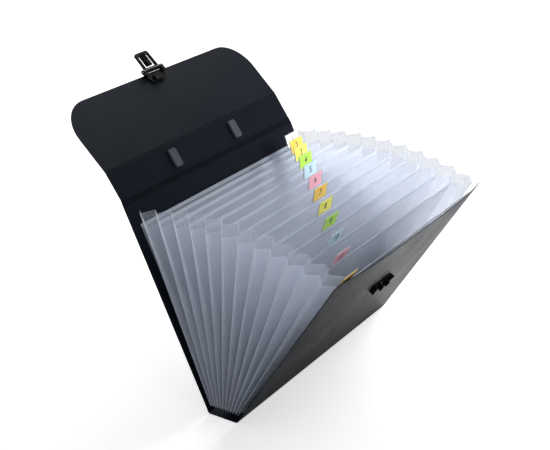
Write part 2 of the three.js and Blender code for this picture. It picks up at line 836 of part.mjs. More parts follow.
// Backing plate on the flap's outer face, whose two posts pass through the flap into the base
function makeBacking() {
  const y0 = back_inner_y + cover_thickness + fit_gap;
  const plate = sheet(
    roundedRectangle(
      -base_width / 2, base_width / 2, post_v - backing_depth / 2, post_v + backing_depth / 2,
      backing_corner,
    ),
    y0, y0 + backing_thickness, 3,
  );
  const post_start = back_inner_y - fit_gap - base_thickness;
  const posts = clasp_posts_x.map((x) => rodY(clasp_post_radius, x, post_start, y0 + weld, post_v));
  return joined(plate, ...posts);
}

place('clasp_backing_plate', makeBacking(), trim_material, flap_group);
place(
  'clasp_pin', rodX(pin_radius, -ear_outer_x, ear_outer_x, pin_y, pin_v), steel_material,
  flap_group,
);

// Lever: a tapered frame with a tongue from its outer bar, turning on the pin between the ears
function makeLever() {
  const length = lever_length;
  const base_half = lever_base_width / 2 - fit_gap;
  const tip_half = lever_tip_width / 2;
  const halfAt = (v) => base_half + ((tip_half - base_half) * v) / length;
  const frame = new THREE.Shape();
  frame.moveTo(-base_half, 0);
  frame.lineTo(base_half, 0);
  frame.lineTo(tip_half, length - lever_tip_corner);
  frame.lineTo(tip_half - lever_tip_corner, length);
  frame.lineTo(-tip_half + lever_tip_corner, length);
  frame.lineTo(-tip_half, length - lever_tip_corner);
  const window_low = knuckle_radius + weld;
  const window_high = length - lever_tip_bar;
  const tongue_half = tongue_width / 2;
  const tongue_low = window_low + tongue_back;
  const pad_v = tongue_low + tongue_pad_radius + rib_width;
  const hole = new THREE.Path();
  hole.moveTo(-halfAt(window_low) + lever_rail, window_low);
  hole.lineTo(-halfAt(window_high) + lever_rail, window_high);
  hole.lineTo(-tongue_half, window_high);
  hole.lineTo(-tongue_half, tongue_low);
  hole.lineTo(tongue_half, tongue_low);
  hole.lineTo(tongue_half, window_high);
  hole.lineTo(halfAt(window_high) - lever_rail, window_high);
  hole.lineTo(halfAt(window_low) - lever_rail, window_low);
  frame.holes.push(hole);
  const half = lever_thickness / 2;
  const parts = [
    sheet(frame, -half, half),
    rodX(knuckle_radius, -base_half, base_half, 0, 0),
    rodY(tongue_pad_radius, 0, -half - tongue_pad_height, -half + weld, pad_v),
  ];
  [-1, 0, 1].forEach((row) => {
    const x = row * rib_pitch;
    parts.push(block(
      x - rib_width / 2, x + rib_width / 2, -half - rib_height, -half + weld,
      pad_v + tongue_pad_radius + rib_width, window_high + lever_tip_bar / 2,
    ));
  });
  const bore = rodX(pin_radius + fit_gap, -base_half - 1, base_half + 1, 0, 0);
  return cut(joined(...parts), bore);
}

const lever_group = new THREE.Group();
lever_group.position.set(0, pin_y, pin_v);
flap_group.add(lever_group);
place('clasp_lever', makeLever(), trim_material, lever_group);

export default document_case;
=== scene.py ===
# %% [markdown]
# An expanding document case stands open on its spine. Its cover is one creased sheet of dark plastic, and
# between the covers sits a bellows of frosted film with twelve numbered pockets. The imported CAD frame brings
# the bodies that move and a plain solid for each part. Those solids could be bevelled and coloured as they
# are, but bent sheet, welded hems and limp film need surfaces of their own. So most pieces are worked out
# again here, in millimetres, and become metres only when they become meshes.

import math

import bmesh
import bpy
import numpy as np
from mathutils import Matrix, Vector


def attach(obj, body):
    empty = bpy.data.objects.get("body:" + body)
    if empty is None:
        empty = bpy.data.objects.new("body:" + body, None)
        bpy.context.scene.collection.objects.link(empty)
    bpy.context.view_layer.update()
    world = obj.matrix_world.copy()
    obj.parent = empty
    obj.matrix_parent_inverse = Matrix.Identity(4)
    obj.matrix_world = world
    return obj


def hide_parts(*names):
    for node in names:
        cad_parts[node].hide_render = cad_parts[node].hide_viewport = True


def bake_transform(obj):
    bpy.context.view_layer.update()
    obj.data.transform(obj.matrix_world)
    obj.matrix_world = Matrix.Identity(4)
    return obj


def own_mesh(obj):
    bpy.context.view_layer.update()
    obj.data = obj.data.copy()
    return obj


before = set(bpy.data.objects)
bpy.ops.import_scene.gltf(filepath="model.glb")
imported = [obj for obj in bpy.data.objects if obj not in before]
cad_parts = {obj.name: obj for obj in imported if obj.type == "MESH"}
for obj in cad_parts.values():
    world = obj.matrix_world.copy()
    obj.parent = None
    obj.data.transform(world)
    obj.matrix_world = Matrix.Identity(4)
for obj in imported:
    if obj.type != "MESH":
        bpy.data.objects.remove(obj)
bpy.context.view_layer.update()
print("CAD nodes:", len(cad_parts))

# %% [markdown]
# The real case is sized by the paper it holds, and the CAD source names those sizes. They could be measured
# from the frame's meshes, but a short list of the same values, in millimetres and degrees, is easier to
# follow, and a sheet that is worked out from them lies exactly where its solid lies.

# %% Sizes of the cover and of the bellows
MM = 0.001
COVER_HALF, COVER_THICKNESS = 165.0, 0.9
SPINE_DEPTH, SPINE_BEND = 38.0, 3.0
FRONT_HEIGHT, FRONT_CORNER, FRONT_BOW = 234.0, 12.0, 6.0
BACK_HEIGHT, STRIP_DEPTH, FLAP_DEPTH = 247.0, 38.0, 85.0
FLAP_HALF, FLAP_CORNER = 164.0, 40.0
FRONT_LEAN, BACK_LEAN, STRIP_BEND, FLAP_BEND = 32.0, 25.0, 9.8, 11.7
AXIS_LIFT = 0.1

POCKETS, FILM, FIT_GAP = 12, 0.4, 0.3
ROOT_SPAN, ROOT_Z = 34.0, 4.4
FOLD_IN, FOLD_OUT = 147.0, 160.5
DIVIDER_HEIGHT, EDGE_RISE, EAR_RISE = 212.0, 7.0, 13.0
HEM_HEIGHT, HEM_THICKNESS = 4.0, 0.9
LINER_FOOT, GUSSET_FOOT = 6.0, 5.0

TAB_FIRST, TAB_PITCH = 123.0, 24.0
TAB_WIDTH, TAB_HEIGHT, TAB_LIFT = 28.0, 16.5, 2.5
SLEEVE_WALL, SLEEVE_GAP, LABEL_THICKNESS, LABEL_BORDER = 0.25, 0.22, 0.2, 1.2
PANEL_LENGTHS = FRONT_HEIGHT, SPINE_DEPTH, BACK_HEIGHT, STRIP_DEPTH, FLAP_DEPTH
print("cover, laid flat:", 2 * COVER_HALF, "by", sum(PANEL_LENGTHS), "mm")

# %% [markdown]
# Each panel of the cover, and each sheet of film, is a leaning plane. It could be made flat and then turned
# as an object, but a finished piece keeps its place in its mesh. So a small function gives the place of a
# point from its distance along the spine, its distance out from the plane and its reach up the plane.


# %% Leaning panels
def on_panel(panel, x, out, up):
    """Points of a leaning panel: the foot's y and z, plus out and up turned by the lean towards +Y."""
    foot_y, foot_z, lean = panel
    c, s = math.cos(math.radians(lean)), math.sin(math.radians(lean))
    x, out, up = np.broadcast_arrays(*(np.asarray(a, float) for a in (x, out, up)))
    return np.stack([x, foot_y + out * c + up * s, foot_z - out * s + up * c], -1)


def above(panel, up, bend):
    """The panel that starts at reach up of another one and leans further by bend."""
    foot = on_panel(panel, 0.0, 0.0, up)
    return (float(foot[1]), float(foot[2]), panel[2] + bend)


print("100 mm up a panel that leans by 25 degrees:", np.round(on_panel((0, 0, 25), 0, 0, 100), 1))


# %% [markdown]
# On the real case the cover turns up from the spine in a small round bend, and the hinge of each cover lies
# at the end of that bend. The place could be read from the joints, but it follows from the bend's radius.


# %% Panels of the cover
def bend_edge(lean):
    """Where the spine's bend starts and where its hinge lies: the bend turns 90 degrees less the lean, starts
    its radius times the tangent of half that turn before the spine's edge, and ends level with the hinge."""
    turn = math.radians(90 - lean)
    flat_half = SPINE_DEPTH / 2 - SPINE_BEND * math.tan(turn / 2)
    radius = SPINE_BEND - COVER_THICKNESS - AXIS_LIFT
    return turn, flat_half, flat_half + radius * math.sin(turn), SPINE_BEND - radius * math.cos(turn)


front_turn, front_flat, front_axis_y, front_axis_z = bend_edge(FRONT_LEAN)
back_turn, back_flat, back_axis_y, back_axis_z = bend_edge(BACK_LEAN)
front_panel = (-front_axis_y, front_axis_z, -FRONT_LEAN)
back_panel = (back_axis_y, back_axis_z, BACK_LEAN)
strip_panel = above(back_panel, BACK_HEIGHT, STRIP_BEND)
flap_panel = above(strip_panel, STRIP_DEPTH, FLAP_BEND)
print("flap's crease at", np.round(flap_panel[:2], 2))

# %% [markdown]
# The film sheets fan out from the spine like the pages of a book. Thirteen places could be typed in, but the
# fan opens evenly, so a sheet's foot and lean are equal steps from the back cover to the front cover.


# %% Panels of the film
def sheet_panel(k):
    """Film sheet k of the fan, 0 on the back cover and 12 on the front one: equal steps of foot and lean."""
    share = k / POCKETS
    return (ROOT_SPAN / 2 - ROOT_SPAN * share, ROOT_Z, BACK_LEAN - (BACK_LEAN + FRONT_LEAN) * share)


def divider_top(k):
    """The outer dividers reach higher than the middle ones, by the square of their place in the fan."""
    return DIVIDER_HEIGHT + EDGE_RISE * (2 * k / POCKETS - 1) ** 2


print("divider tops:", [round(divider_top(k), 1) for k in range(1, POCKETS)])

# %% [markdown]
# A sheet is a thing with two faces and a thin rim. A plane with a Solidify modifier gives that too, but then
# hems and grooves can't differ from face to face. Here both faces are grids of points, and one helper joins
# them: quads between neighbours, a rim round the edge, flat coordinates for the patterns, smooth shading.

# %% Making meshes
DOUBLE_DISTANCE = 1e-7


def grid_faces(rows, columns):
    """Quads between the neighbours of a grid of points."""
    r, c = np.meshgrid(np.arange(rows - 1), np.arange(columns - 1), indexing="ij")
    corner = r * columns + c
    return np.stack([corner, corner + 1, corner + columns + 1, corner + columns], -1).reshape(-1, 4)


def make_mesh(name, points, faces, flat=None, weld=None, sharp=40):
    """A mesh from points in millimetres, with its flat coordinates in metres and its weld mask."""
    mesh = bpy.data.meshes.new(name)
    mesh.from_pydata((np.asarray(points) * MM).tolist(), [], [list(f) for f in faces])
    if flat is not None:
        corners = np.zeros(len(mesh.loops), np.int32)
        mesh.loops.foreach_get("vertex_index", corners)
        layer = mesh.uv_layers.new(name="flat")
        layer.data.foreach_set("uv", (np.asarray(flat)[corners] * MM).astype(np.float32).ravel())
    if weld is not None:
        attribute = mesh.attributes.new("weld", "FLOAT", "POINT")
        attribute.data.foreach_set("value", np.asarray(weld, np.float32).ravel())
    mesh.polygons.foreach_set("use_smooth", np.ones(len(mesh.polygons), bool))
    mesh.set_sharp_from_angle(angle=math.radians(sharp))
    return mesh


def point_outwards(mesh):
    """Merges the doubles of a closed mesh and turns its faces so that they all point outwards."""
    work = bmesh.new()
    work.from_mesh(mesh)
    bmesh.ops.remove_doubles(work, verts=work.verts, dist=DOUBLE_DISTANCE)
    bmesh.ops.recalc_face_normals(work, faces=work.faces)
    work.to_mesh(mesh)
    work.free()


def closed_sheet(name, first, second, flat=None, weld=None, sharp=40):
    """A closed sheet between two grids of points: both faces, and a rim of quads from one border to the
    other. The flat coordinates and the weld mask are given for one face and hold for both."""
    rows, columns = first.shape[:2]
    count = rows * columns
    faces = grid_faces(rows, columns)
    index = np.arange(count).reshape(rows, columns)
    border = np.concatenate([index[0, :-1], index[:-1, -1], index[-1, :0:-1], index[:0:-1, 0]])
    after = np.roll(border, -1)
    rim = np.stack([border, border + count, after + count, after], -1)
    points = np.concatenate([first.reshape(-1, 3), second.reshape(-1, 3)])
    flat = None if flat is None else np.concatenate([flat, flat])
    weld = None if weld is None else np.concatenate([weld, weld])
    mesh = make_mesh(name, points, np.concatenate([faces[:, ::-1], faces + count, rim]), flat, weld, sharp)
    point_outwards(mesh)
    return mesh


print("a grid of 3 by 4 points has", len(grid_faces(3, 4)), "quads")

# %% [markdown]
# A mesh shows only once an object carries it into the scene. An object then rides on a body of the frame, if
# it is given one, so that it moves with its joint, and the CAD nodes it stands for are hidden. The tiny
# rounding on its edges could be modelled, but a Bevel modifier that picks the edges by their angle does it for
# every shape alike.


# %% Pieces on their bodies
def add_piece(mesh, material, body, replaces=()):
    """Puts a mesh in the scene on a body, with its material, and hides the CAD nodes it stands for."""
    piece = bpy.data.objects.new(mesh.name, mesh)
    bpy.context.scene.collection.objects.link(piece)
    mesh.materials.append(material)
    if body:
        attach(piece, body)
    if replaces:
        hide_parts(*replaces)
    return piece


def round_edges(piece, width, segments=2, angle=50):
    """A small rounding on the edges that are sharper than an angle."""
    bevel = piece.modifiers.new("rounding", "BEVEL")
    bevel.width = width * MM
    bevel.segments = segments
    bevel.limit_method = "ANGLE"
    bevel.angle_limit = math.radians(angle)
    bevel.harden_normals = True
    return piece


def film_body(k):
    """The body that film sheet k rides on: a cover for the first and the last, and a divider between."""
    return {0: "back_cover", POCKETS: "front_cover"}.get(k, f"divider_{k}")


print("film sheets 0, 1 and 12 ride on", [film_body(k) for k in (0, 1, POCKETS)])

# %% [markdown]
# Effects that several finishes share are shader groups, built once and placed with their own scale. Fine
# grain gives the plastic its haze and the film its frost. An image could hold it, but noise has no end and
# no pixels, so it stays crisp from near.

# %% Shared grain
FLOAT, VECTOR = "NodeSocketFloat", "NodeSocketVector"
FINER_SCALE, FINER_HEIGHT = 3.0, 0.5


def new_group(name, scale, output):
    """A shader node group with a vector and a scale as inputs and one value as its output."""
    group = bpy.data.node_groups.new(name, "ShaderNodeTree")
    group.interface.new_socket("Vector", in_out="INPUT", socket_type=VECTOR)
    group.interface.new_socket("Scale", in_out="INPUT", socket_type=FLOAT).default_value = scale
    group.interface.new_socket(output, in_out="OUTPUT", socket_type=FLOAT)
    return group, group.nodes.new("NodeGroupInput"), group.nodes.new("NodeGroupOutput")


def make_grain_group():
    """Grain height: noise at one scale plus half of noise at three times that scale."""
    group, enter, leave = new_group("fine_grain", 900.0, "Height")
    n, link = group.nodes, group.links.new
    coarse, fine = n.new("ShaderNodeTexNoise"), n.new("ShaderNodeTexNoise")
    triple, total = n.new("ShaderNodeMath"), n.new("ShaderNodeMath")
    triple.operation, total.operation = "MULTIPLY", "MULTIPLY_ADD"
    triple.inputs[1].default_value = FINER_SCALE
    total.inputs[1].default_value = FINER_HEIGHT
    link(enter.outputs["Vector"], coarse.inputs["Vector"])
    link(enter.outputs["Vector"], fine.inputs["Vector"])
    link(enter.outputs["Scale"], coarse.inputs["Scale"])
    link(enter.outputs["Scale"], triple.inputs[0])
    link(triple.outputs[0], fine.inputs["Scale"])
    link(fine.outputs["Fac"], total.inputs[0])
    link(coarse.outputs["Fac"], total.inputs[2])
    link(total.outputs[0], leave.inputs["Height"])
    return group


grain_group = make_grain_group()
print("group:", grain_group.name, "with", len(grain_group.nodes), "nodes")

# %% [markdown]
# A used case has broad cloudy patches where hands dull its gloss. They could be painted, but soft noise cut
# between two levels gives patches with clear ground between them, on every piece and at any size.

# %% Shared handling marks
MARKS_LOW, MARKS_HIGH = 0.35, 0.68


def make_marks_group():
    """Handling marks: broad soft noise, stretched between two levels, as a mask from 0 to 1."""
    group, enter, leave = new_group("handling_marks", 18.0, "Mask")
    n, link = group.nodes, group.links.new
    noise, stretch = n.new("ShaderNodeTexNoise"), n.new("ShaderNodeMapRange")
    noise.inputs["Detail"].default_value = 5.0
    noise.inputs["Roughness"].default_value = 0.6
    stretch.inputs["From Min"].default_value = MARKS_LOW
    stretch.inputs["From Max"].default_value = MARKS_HIGH
    link(enter.outputs["Vector"], noise.inputs["Vector"])
    link(enter.outputs["Scale"], noise.inputs["Scale"])
    link(noise.outputs["Fac"], stretch.inputs["Value"])
    link(stretch.outputs["Result"], leave.inputs["Mask"])
    return group


marks_group = make_marks_group()
print("group:", marks_group.name, "with", len(marks_group.nodes), "nodes")

# %% [markdown]
# Every material takes the same few steps: place a group, mix two colours by a mask, turn a mask into a
# roughness, turn a height into a bump. They could be wired by hand each time, but a helper for each keeps
# the materials short enough to read as a list of what is seen on the real thing.


# %% Helpers for materials
def linear(*levels):
    """A colour as the screen shows it, 0 to 255, made into the linear colour that shaders take."""
    c = np.array(levels, float) / 255
    return (*np.where(c <= 0.04045, c / 12.92, ((c + 0.055) / 1.055) ** 2.4), 1.0)


def darker(colour, share):
    """A colour with its three parts multiplied by a share."""
    return tuple(share * c for c in colour[:3]) + (1.0,)


def new_material(name):
    """A material with its shader, its nodes and a function that joins sockets."""
    material = bpy.data.materials.new(name)
    material.use_nodes = True
    tree = material.node_tree
    return material, tree.nodes["Principled BSDF"], tree.nodes, tree.links.new


def use_group(nodes, link, group, vector, scale):
    """Places a shared group with its own scale, and gives its one output."""
    node = nodes.new("ShaderNodeGroup")
    node.node_tree = group
    link(vector, node.inputs["Vector"])
    node.inputs["Scale"].default_value = scale
    return node.outputs[0]


def mix_colours(nodes, link, mask, first, second):
    """A colour between two, by a mask."""
    mix = nodes.new("ShaderNodeMix")
    mix.data_type = "RGBA"
    mix.inputs["A"].default_value = first
    mix.inputs["B"].default_value = second
    link(mask, mix.inputs["Factor"])
    return mix.outputs["Result"]


def map_mask(nodes, link, mask, low, high):
    """A mask of 0 to 1 made into a value from low to high."""
    node = nodes.new("ShaderNodeMapRange")
    node.inputs["To Min"].default_value = low
    node.inputs["To Max"].default_value = high
    link(mask, node.inputs["Value"])
    return node.outputs["Result"]


def bump_normal(nodes, link, height, distance, strength, normal=None):
    """A bumped normal from a height, in metres of relief."""
    bump = nodes.new("ShaderNodeBump")
    bump.inputs["Strength"].default_value = strength
    bump.inputs["Distance"].default_value = distance
    link(height, bump.inputs["Height"])
    if normal is not None:
        link(normal, bump.inputs["Normal"])
    return bump.outputs["Normal"]


print("screen level 128 is", round(float(linear(128)[0]), 3), "in linear light")

# %% [markdown]
# The cover is a rolled sheet of plastic. The roller leaves short fine dashes on its outer face, and the inner
# face is smoother and darker. The creases are duller still, and their colour is darker than the inner face's
# as painted shade, for the shade that falls in each fold. The dashes could be cut into the mesh, but they are
# less than a tenth of a millimetre deep. So they are noise on the sheet's own flat coordinates, drawn out
# about seven to one along the width, and they follow the sheet round every crease.

# %% Finishes of the cover sheet
DASH_SCALE = (150.0, 1000.0, 1.0)
DASH_LOW, DASH_HIGH, DASH_STRENGTH = 0.4, 0.62, 0.6
SHEET_ROUGHER = 0.1
COOL_GLOSS = linear(205, 225, 255)


def cover_material(name, ground, dashed, roughness, dash_depth, shine=0.14):
    """Dark plastic sheet: dashes in the colour and the relief, a haze of fine grain and cloudy gloss."""
    material, shader, nodes, link = new_material(name)
    flat = nodes.new("ShaderNodeUVMap")
    flat.uv_map = "flat"
    stretch = nodes.new("ShaderNodeMapping")
    stretch.inputs["Scale"].default_value = DASH_SCALE
    link(flat.outputs["UV"], stretch.inputs["Vector"])
    noise = nodes.new("ShaderNodeTexNoise")
    noise.inputs["Scale"].default_value = 1.0
    noise.inputs["Detail"].default_value = 3.0
    link(stretch.outputs["Vector"], noise.inputs["Vector"])
    crisp = nodes.new("ShaderNodeMapRange")
    crisp.inputs["From Min"].default_value = DASH_LOW
    crisp.inputs["From Max"].default_value = DASH_HIGH
    link(noise.outputs["Fac"], crisp.inputs["Value"])
    dashes = crisp.outputs["Result"]
    marks = use_group(nodes, link, marks_group, flat.outputs["UV"], scale=14.0)
    grain = use_group(nodes, link, grain_group, flat.outputs["UV"], scale=2200.0)
    haze = bump_normal(nodes, link, grain, distance=0.00002, strength=0.5)
    link(mix_colours(nodes, link, dashes, ground, dashed), shader.inputs["Base Color"])
    link(map_mask(nodes, link, marks, roughness, roughness + SHEET_ROUGHER), shader.inputs["Roughness"])
    link(bump_normal(nodes, link, dashes, dash_depth, DASH_STRENGTH, haze), shader.inputs["Normal"])
    shader.inputs["Specular IOR Level"].default_value = shine
    shader.inputs["Specular Tint"].default_value = COOL_GLOSS
    return material


cover_outside = cover_material(
    "cover_outside", linear(19, 21, 24), linear(54, 55, 58), roughness=0.42, dash_depth=0.00006
)
cover_inside = cover_material(
    "cover_inside", linear(9, 12, 19), linear(12, 15, 23), roughness=0.4, dash_depth=0.00001, shine=0.16
)
# The creases' finish is duller, and its colour is darker than the inner face's: painted shade in the folds.
crease_painted_shade = cover_material(
    "crease_painted_shade", linear(6, 8, 14), linear(9, 11, 18), roughness=0.5, dash_depth=0.00001, shine=0.11
)
print("cover finishes:", [m.name for m in (cover_outside, cover_inside, crease_painted_shade)])

# %% [markdown]
# The pockets are frosted film. It lets light through without letting shapes through clearly, it is denser
# where two films are welded, and it turns milky where it is seen at a slant. True refraction could show that,
# but it is noisy and slow through thirteen sheets. Alpha does it at little cost: a weld mask raises it, and
# so does a layer weight, which grows with the slant.

# %% Finish of the film
PASSED_ON = 0.3
SLANT_BLEND = 0.25
MARKED_SHADE, MARKED_ROUGHER = 0.95, 0.12
SCATTER_DEPTH = 0.002


def film_material(name, clear, welded, colour, roughness, milky):
    """Frosted film: alpha is clear or welded by the mask, plus milky times the slant. Light that falls on
    one face also comes out of the other, because the film scatters it below its surface. Most of the light
    that would end on the film goes on to the next sheet, so shadow rays see only a part of its alpha."""
    material, shader, nodes, link = new_material(name)
    place = nodes.new("ShaderNodeTexCoord").outputs["Object"]
    grain = use_group(nodes, link, grain_group, place, scale=1600.0)
    marks = use_group(nodes, link, marks_group, place, scale=26.0)
    weld = nodes.new("ShaderNodeAttribute")
    weld.attribute_name = "weld"
    slant = nodes.new("ShaderNodeLayerWeight")
    slant.inputs["Blend"].default_value = SLANT_BLEND
    body = nodes.new("ShaderNodeMath")
    body.operation = "MULTIPLY_ADD"
    body.use_clamp = True
    body.inputs[1].default_value = milky
    link(slant.outputs["Facing"], body.inputs[0])
    link(map_mask(nodes, link, weld.outputs["Fac"], clear, welded), body.inputs[2])
    rays = nodes.new("ShaderNodeLightPath")
    alpha = nodes.new("ShaderNodeMath")
    alpha.operation = "MULTIPLY"
    link(map_mask(nodes, link, rays.outputs["Is Shadow Ray"], 1.0, PASSED_ON), alpha.inputs[0])
    link(body.outputs[0], alpha.inputs[1])
    link(alpha.outputs[0], shader.inputs["Alpha"])
    link(mix_colours(nodes, link, marks, colour, darker(colour, MARKED_SHADE)), shader.inputs["Base Color"])
    link(map_mask(nodes, link, marks, roughness, roughness + MARKED_ROUGHER), shader.inputs["Roughness"])
    link(bump_normal(nodes, link, grain, distance=0.00001, strength=0.1), shader.inputs["Normal"])
    shader.inputs["Specular IOR Level"].default_value = 0.35
    shader.inputs["Subsurface Weight"].default_value = 0.8
    shader.inputs["Subsurface Radius"].default_value = (1.0, 1.0, 1.0)
    shader.inputs["Subsurface Scale"].default_value = SCATTER_DEPTH
    return material


frosted_film = film_material(
    "frosted_film", clear=0.15, welded=0.3, colour=linear(206, 214, 230), roughness=0.32, milky=0.3
)
clear_sleeve = film_material(
    "clear_sleeve", clear=0.03, welded=0.03, colour=linear(240, 243, 246), roughness=0.12, milky=0.1
)
print("films:", frosted_film.name, clear_sleeve.name)

# %% [markdown]
# The handle, the clasp and the keeper are moulded plastic: nearly black, with the slight grain of an eroded
# mould and soft gloss. The caps are the same moulding in grey, and printing ink is dull enough to share the
# recipe. A single flat colour would look like a toy, so faint marks change both the shade and the gloss.


# %% Finish of the mouldings
def moulded_material(name, colour, worn, roughness, shine):
    """Moulded plastic: eroded grain in the relief and faint marks in the colour and the gloss."""
    material, shader, nodes, link = new_material(name)
    place = nodes.new("ShaderNodeTexCoord").outputs["Object"]
    grain = use_group(nodes, link, grain_group, place, scale=1900.0)
    marks = use_group(nodes, link, marks_group, place, scale=90.0)
    link(mix_colours(nodes, link, marks, colour, worn), shader.inputs["Base Color"])
    link(map_mask(nodes, link, marks, roughness, roughness + MARKED_ROUGHER), shader.inputs["Roughness"])
    link(bump_normal(nodes, link, grain, distance=0.00004, strength=0.6), shader.inputs["Normal"])
    shader.inputs["Specular IOR Level"].default_value = shine
    return material


black_moulding = moulded_material(
    "black_moulding", linear(3, 3, 5), linear(7, 8, 10), roughness=0.34, shine=0.14
)
grey_moulding = moulded_material(
    "grey_moulding", linear(58, 62, 70), linear(66, 70, 78), roughness=0.42, shine=0.3
)
number_ink = moulded_material(
    "number_ink", linear(12, 13, 18), linear(20, 22, 28), roughness=0.6, shine=0.2
)
print("mouldings:", [m.name for m in (black_moulding, grey_moulding, number_ink)])

# %% [markdown]
# The index slips are coloured card and the clasp turns on a steel wire pin. Card has a soft mottle and a
# fibrous relief but no gloss to speak of. Wire is drawn through a die, which leaves its gloss uneven.

# %% Finish of the card and of the pin
CARD_SHADE = 0.92
SLIP_COLOURS = {
    "label_white": (255, 255, 252),
    "label_amber": (255, 208, 60),
    "label_yellow": (255, 250, 90),
    "label_green": (186, 240, 60),
    "label_blue": (205, 238, 255),
    "label_pink": (255, 180, 195),
}


def card_material(name, colour):
    """Coloured card: a soft mottle and a fibrous relief."""
    material, shader, nodes, link = new_material(name)
    place = nodes.new("ShaderNodeTexCoord").outputs["Object"]
    grain = use_group(nodes, link, grain_group, place, scale=1300.0)
    marks = use_group(nodes, link, marks_group, place, scale=200.0)
    link(mix_colours(nodes, link, marks, colour, darker(colour, CARD_SHADE)), shader.inputs["Base Color"])
    link(bump_normal(nodes, link, grain, distance=0.00002, strength=0.2), shader.inputs["Normal"])
    shader.inputs["Roughness"].default_value = 0.75
    return material


def steel_material(name):
    """Drawn steel wire: bright metal with small uneven patches in the gloss."""
    material, shader, nodes, link = new_material(name)
    place = nodes.new("ShaderNodeTexCoord").outputs["Object"]
    marks = use_group(nodes, link, marks_group, place, scale=400.0)
    shader.inputs["Base Color"].default_value = linear(170, 172, 176)
    shader.inputs["Metallic"].default_value = 1.0
    link(map_mask(nodes, link, marks, 0.22, 0.4), shader.inputs["Roughness"])
    return material


pin_steel = steel_material("pin_steel")
slip_cards = {name: card_material(name, linear(*colour)) for name, colour in SLIP_COLOURS.items()}
print("cards:", list(slip_cards), "and", pin_steel.name)

# %% [markdown]
# The front cover bows outwards towards its top edge, because the bellows pushes its middle out. A flat box
# could be bent by a modifier, but a grid over the width and the height takes the bow as a formula: it grows
# with the height and fades towards the side edges. The two upper corners are rounded by shortening the
# columns near them.

# %% Shape of a cover panel
CORNER_STEPS = 13


def front_bow(x, up):
    """The bow grows with the height and fades with the fourth power of the distance from the middle."""
    return -FRONT_BOW * (up / FRONT_HEIGHT) * (1 - (x / COVER_HALF) ** 4)


def no_bow(x, up):
    """A flat panel has no bow anywhere."""
    return 0.0 * x


def panel_sheet(name, panel, half, low, high, corner, faces_out, bow=no_bow, rows=40, columns=72):
    """A cover panel. Its columns run from low to a top line, which is high less the corner's radius plus the
    root of radius squared minus the distance into the corner squared. The bow shifts both faces alike."""
    straight = half - corner
    turn = np.linspace(0, math.pi / 2, CORNER_STEPS)[1:]
    corner_x = straight + corner * np.sin(turn)
    x = np.concatenate([-corner_x[::-1], np.linspace(-straight, straight, columns), corner_x])
    into = np.clip(np.abs(x) - straight, 0, corner)
    top = high - (corner - np.sqrt(np.maximum(corner**2 - into**2, 0)))
    up = low + np.linspace(0, 1, rows)[:, None] * (top - low)[None, :]
    x = np.broadcast_to(x, up.shape)
    inner, outer = (on_panel(panel, x, out + bow(x, up), up) for out in faces_out)
    return closed_sheet(name, inner, outer, np.stack([x, up], -1).reshape(-1, 2), sharp=50)


print("the front cover's bow at its top edge:", front_bow(0, FRONT_HEIGHT), "mm")

# %% [markdown]
# One sheet has two finishes, the rolled outside and the smoother inside. Two sheets back to back would show
# a seam, so one mesh carries both materials, and each face takes the outer one where it looks outwards.

# %% Front cover
CREASE_REACH = 5.0
FACES_OUTWARDS = 0.3
SHEET_ROUNDING = 0.25


def finish_outer_face(mesh, panel, side):
    """Gives the rolled finish to the faces that look to the panel's outer side: those whose normal, times
    the outward direction, is above a limit."""
    mesh.materials.append(cover_outside)
    normals = np.zeros(len(mesh.polygons) * 3, np.float32)
    mesh.polygons.foreach_get("normal", normals)
    outward = on_panel(panel, 0, side, 0) - on_panel(panel, 0, 0, 0)
    outer = normals.reshape(-1, 3) @ outward > FACES_OUTWARDS
    mesh.polygons.foreach_set("material_index", outer.astype(np.int32))
    return int(outer.sum())


front_mesh = panel_sheet(
    "front_cover_sheet", front_panel, COVER_HALF, CREASE_REACH, FRONT_HEIGHT, FRONT_CORNER,
    (-AXIS_LIFT, -AXIS_LIFT - COVER_THICKNESS), front_bow,
)
front_sheet = add_piece(front_mesh, cover_inside, "front_cover", ["front_cover"])
round_edges(front_sheet, SHEET_ROUNDING)
print("front cover's outer faces:", finish_outer_face(front_mesh, front_panel, -1))

# %% [markdown]
# The back cover, the top strip and the flap continue one another on the real sheet. They could be one mesh
# with weights, but each swings stiffly at its crease, so each is a sheet of its own on its own body. The
# flap has a free outer edge with two wide rounded corners.

# %% Back cover, top strip and flap
BACK_FACES = (AXIS_LIFT, AXIS_LIFT + COVER_THICKNESS)
SOFT_CREASE, THIN_CREASE = 3.6, 1.1
back_mesh = panel_sheet(
    "back_cover_sheet", back_panel, COVER_HALF, CREASE_REACH, BACK_HEIGHT - SOFT_CREASE, 0.0, BACK_FACES
)
strip_mesh = panel_sheet(
    "top_strip_sheet", strip_panel, FLAP_HALF, SOFT_CREASE, STRIP_DEPTH - THIN_CREASE, 0.0, BACK_FACES,
    rows=10,
)
flap_mesh = panel_sheet(
    "flap_sheet", flap_panel, FLAP_HALF, THIN_CREASE, FLAP_DEPTH, FLAP_CORNER, BACK_FACES, rows=30
)
for mesh, body, panel in (
    (back_mesh, "back_cover", back_panel),
    (strip_mesh, "top_strip", strip_panel),
    (flap_mesh, "flap", flap_panel),
):
    round_edges(add_piece(mesh, cover_inside, body, [body]), SHEET_ROUNDING)
    print(body, "outer faces:", finish_outer_face(mesh, panel, 1))

# %% [markdown]
# A crease is where the sheet was pressed thin so that it folds. Two panels that only met in a line would
# part there when they swing. Each crease is a narrow strip whose section curves from one panel to the next,
# with a groove on the inner face where the sheet was pressed. The strip rides on no body and keeps the open
# pose.

# %% Sections of the creases
CREASE_STEPS, BEND_STEPS, RISE_STEPS = 17, 12, 4
GROOVE_SHARE = 0.28
RISE_START = 0.8


def curved(start, middle, end, steps):
    """A quadratic curve from start to end, drawn towards the middle point."""
    t = np.linspace(0, 1, steps)[:, None]
    return (1 - t) ** 2 * start + 2 * t * (1 - t) * middle + t**2 * end


